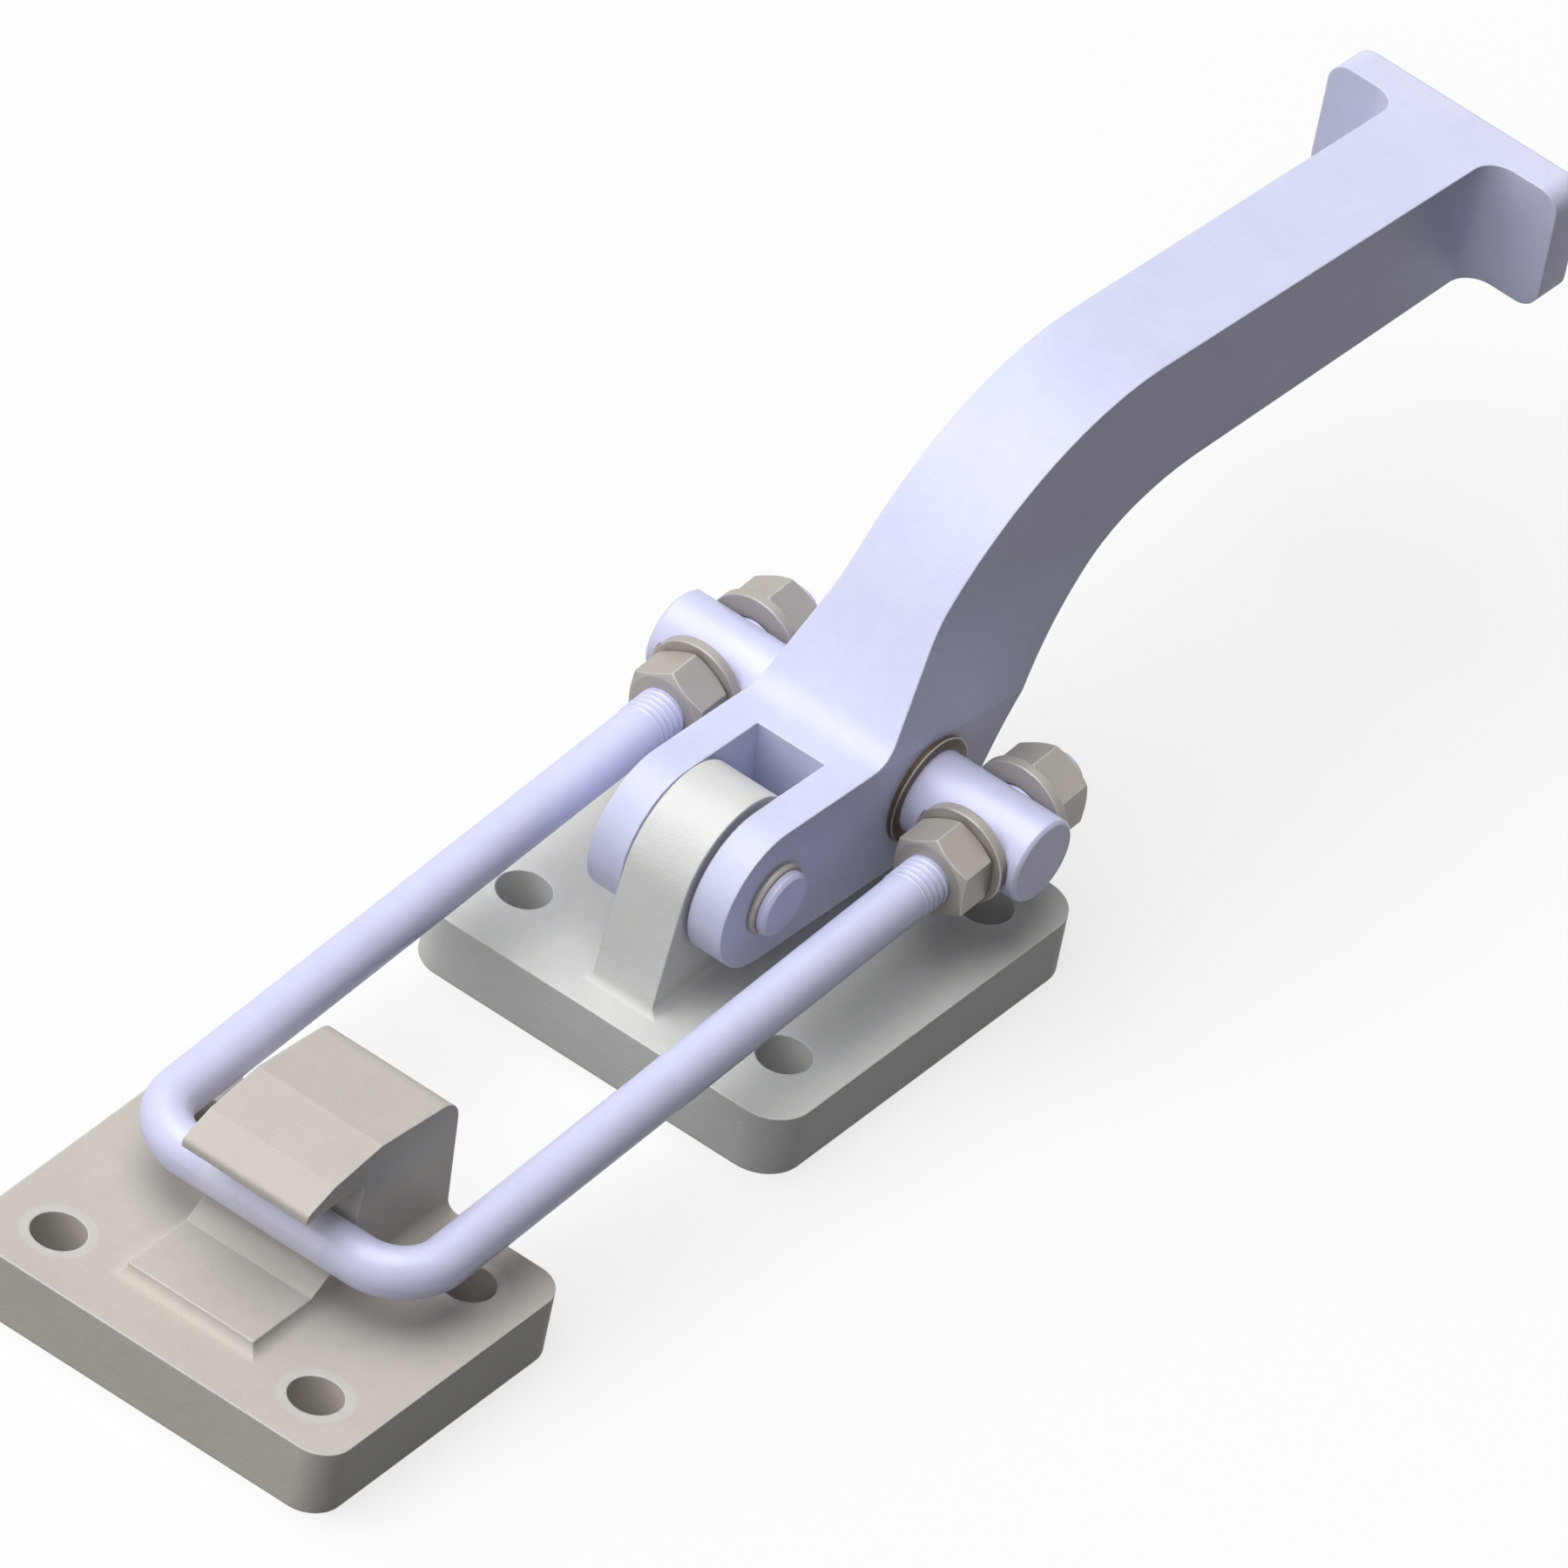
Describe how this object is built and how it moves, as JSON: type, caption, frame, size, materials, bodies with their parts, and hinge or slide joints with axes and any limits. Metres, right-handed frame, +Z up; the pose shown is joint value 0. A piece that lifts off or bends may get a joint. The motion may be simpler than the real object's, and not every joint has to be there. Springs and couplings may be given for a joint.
{
  "type": "toggle clamp",
  "caption": "Heavy pull-action latch clamp: a lever with a forked pivot on a bolted base draws a U-shaped bow into a hooked catch plate.",
  "frame": {"origin": "centre of the mounting base's four bolt holes, on the mounting face", "axes": "+X along the clamp from the catch plate to the hand grip, +Y to the left side, +Z up and away from the mounting face"},
  "size_m": [0.4627, 0.104, 0.1188],
  "materials": {
    "base_steel": "satin zinc plate on machined forging",
    "catch_steel": "satin warm-toned plate on machined forging",
    "handle_steel": "satin bluish zinc plate on forging",
    "bright_steel": "bluish zinc plate on turned and drawn bar",
    "spring_steel": "plain spring wire",
    "fastener_steel": "tan-grey zinc plate",
    "bush_bronze": "turned bearing bronze"
  },
  "bodies": {
    "base": {"mounting_base": "base_steel", "pivot_bush_left": "bush_bronze", "pivot_bush_right": "bush_bronze", "catch_plate": "catch_steel"},
    "handle": {"handle": "handle_steel", "pivot_pin": "bright_steel", "pin_ring_left": "spring_steel", "pin_ring_right": "spring_steel", "trunnion_bush_left": "bush_bronze", "trunnion_bush_right": "bush_bronze"},
    "trunnion": {"trunnion": "bright_steel", "washer_front_left": "fastener_steel", "washer_front_right": "fastener_steel", "washer_rear_left": "fastener_steel", "washer_rear_right": "fastener_steel"},
    "bow": {"latch_bow": "bright_steel"},
    "nut_front_left": {"nut_front_left": "fastener_steel"},
    "nut_front_right": {"nut_front_right": "fastener_steel"},
    "nut_rear_left": {"nut_rear_left": "fastener_steel"},
    "nut_rear_right": {"nut_rear_right": "fastener_steel"}
  },
  "joints": [
    {"name": "handle_hinge", "type": "hinge", "parent": "base", "child": "handle", "pos_m": [-0.026, 0, 0.044], "axis": [0, -1, 0], "range_deg": [0, 90]},
    {"name": "trunnion_swivel", "type": "hinge", "parent": "handle", "child": "trunnion", "pos_m": [0.0304, 0, 0.0428], "axis": [0, -1, 0], "range_deg": [-72, 0]},
    {"name": "bow_adjust", "type": "slide", "parent": "trunnion", "child": "bow", "axis": [-0.9987, 0, -0.0515], "range_m": [0, 0.0035]},
    {"name": "nut_front_left_turn", "type": "hinge", "parent": "trunnion", "child": "nut_front_left", "pos_m": [0.01242, 0.0372, 0.04187], "axis": [0.9987, 0, 0.0515], "range_deg": [0, 720.1]},
    {"name": "nut_front_right_turn", "type": "hinge", "parent": "trunnion", "child": "nut_front_right", "pos_m": [0.01242, -0.0372, 0.04187], "axis": [0.9987, 0, 0.0515], "range_deg": [0, 720.1]},
    {"name": "nut_rear_left_turn", "type": "hinge", "parent": "trunnion", "child": "nut_rear_left", "pos_m": [0.04838, 0.0372, 0.04373], "axis": [0.9987, 0, 0.0515], "range_deg": [0, 720.1]},
    {"name": "nut_rear_right_turn", "type": "hinge", "parent": "trunnion", "child": "nut_rear_right", "pos_m": [0.04838, -0.0372, 0.04373], "axis": [0.9987, 0, 0.0515], "range_deg": [0, 720.1]}
  ],
  "couplings": [
    {"joint": "trunnion_swivel", "follows": "handle_hinge", "ratio": -0.8},
    {"joint": "nut_front_left_turn", "follows": "bow_adjust", "rad_per_m": 3590.4},
    {"joint": "nut_front_right_turn", "follows": "bow_adjust", "rad_per_m": 3590.4},
    {"joint": "nut_rear_left_turn", "follows": "bow_adjust", "rad_per_m": 3590.4},
    {"joint": "nut_rear_right_turn", "follows": "bow_adjust", "rad_per_m": 3590.4}
  ]
}
